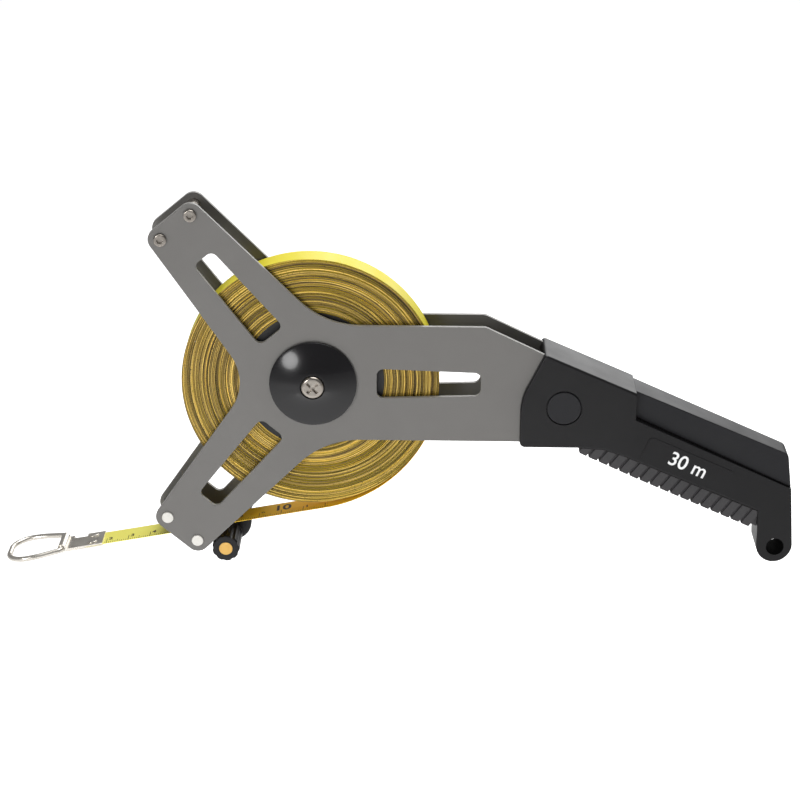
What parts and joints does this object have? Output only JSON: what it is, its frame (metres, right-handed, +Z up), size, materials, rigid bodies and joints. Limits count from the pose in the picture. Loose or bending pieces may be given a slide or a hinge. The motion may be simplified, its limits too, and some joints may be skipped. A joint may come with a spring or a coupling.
{
  "type": "surveyor tape reel",
  "caption": "Open-frame steel tape on a hub between Y-shaped side plates, with a folding crank, guide rollers, an end ring and a slanted grip.",
  "frame": {"origin": "centre of the hand grip, midway between the side plates", "axes": "+X from the reel towards the grip's end, +Y through the plates towards the crank, +Z up"},
  "size_m": [0.3516, 0.0379, 0.1676],
  "materials": {
    "painted_plate": "satin grey paint",
    "black_plastic": "fine matt",
    "gloss_black": "gloss",
    "ribbed_grip": "matt",
    "steel": "bright",
    "nickel": "bright",
    "aluminium": "satin",
    "brass": "satin",
    "nylon": "natural",
    "yellow_tape": "yellow lacquer",
    "wound_tape": "edges of lacquered tape",
    "label": "print",
    "crank_paint": "black paint"
  },
  "bodies": {
    "frame": {"front_side_plate": "painted_plate", "rear_side_plate": "painted_plate", "front_bushing": "nylon", "rear_bushing": "nylon", "spacer_sleeves": "steel", "upper_screws": "steel", "upper_nuts": "steel", "roller_pins": "aluminium", "grip_body": "black_plastic", "grip_back": "black_plastic", "grip_strip": "ribbed_grip", "grip_caps": "black_plastic", "grip_bolt": "steel", "grip_pin": "steel", "length_label": "label", "tape_loose_turns": "wound_tape", "tape_run": "yellow_tape"},
    "spool": {"hub_drum": "black_plastic", "axle": "steel", "tape_winding": "wound_tape", "hub_cap": "gloss_black", "cap_screw": "steel", "crank_nut": "steel", "crank_arm": "crank_paint", "crank_knuckle": "black_plastic", "fold_pin": "steel"},
    "knob_carrier": {"knob_stem": "steel", "knob_spindle": "brass"},
    "knob": {"crank_knob": "black_plastic"},
    "outer_roller": {"outer_roller": "black_plastic"},
    "inner_roller": {"inner_roller": "black_plastic"},
    "tape_end": {"tape_tongue": "yellow_tape", "end_clamp": "nickel", "clamp_rivets": "nickel"},
    "ring": {"end_ring": "nickel"}
  },
  "joints": [
    {"name": "spool_spin", "type": "hinge", "parent": "frame", "child": "spool", "pos_m": [-0.16, 0, 0.027], "axis": [0, -1, 0], "range_deg": [0, 40.5]},
    {"name": "knob_fold", "type": "hinge", "parent": "spool", "child": "knob_carrier", "pos_m": [-0.19961, 0.01625, -0.05315], "axis": [0.8965, 0, -0.4431], "range_deg": [0, 180]},
    {"name": "knob_spin", "type": "hinge", "parent": "knob_carrier", "child": "knob", "pos_m": [-0.19961, 0, -0.05315], "axis": [0, 1, 0], "continuous": true},
    {"name": "outer_roller_spin", "type": "hinge", "parent": "frame", "child": "outer_roller", "pos_m": [-0.22494, 0, -0.03717], "axis": [0, 1, 0], "continuous": true},
    {"name": "inner_roller_spin", "type": "hinge", "parent": "frame", "child": "inner_roller", "pos_m": [-0.21192, 0, -0.0481], "axis": [0, 1, 0], "continuous": true},
    {"name": "tape_slide", "type": "slide", "parent": "frame", "child": "tape_end", "axis": [0.9829, 0, 0.184], "range_m": [0, 0.04]},
    {"name": "ring_swing", "type": "hinge", "parent": "tape_end", "child": "ring", "pos_m": [-0.27325, 0, -0.05445], "axis": [0, 1, 0], "range_deg": [-110, 110]}
  ],
  "couplings": [
    {"joint": "tape_slide", "follows": "spool_spin", "m_per_rad": 0.0564}
  ]
}
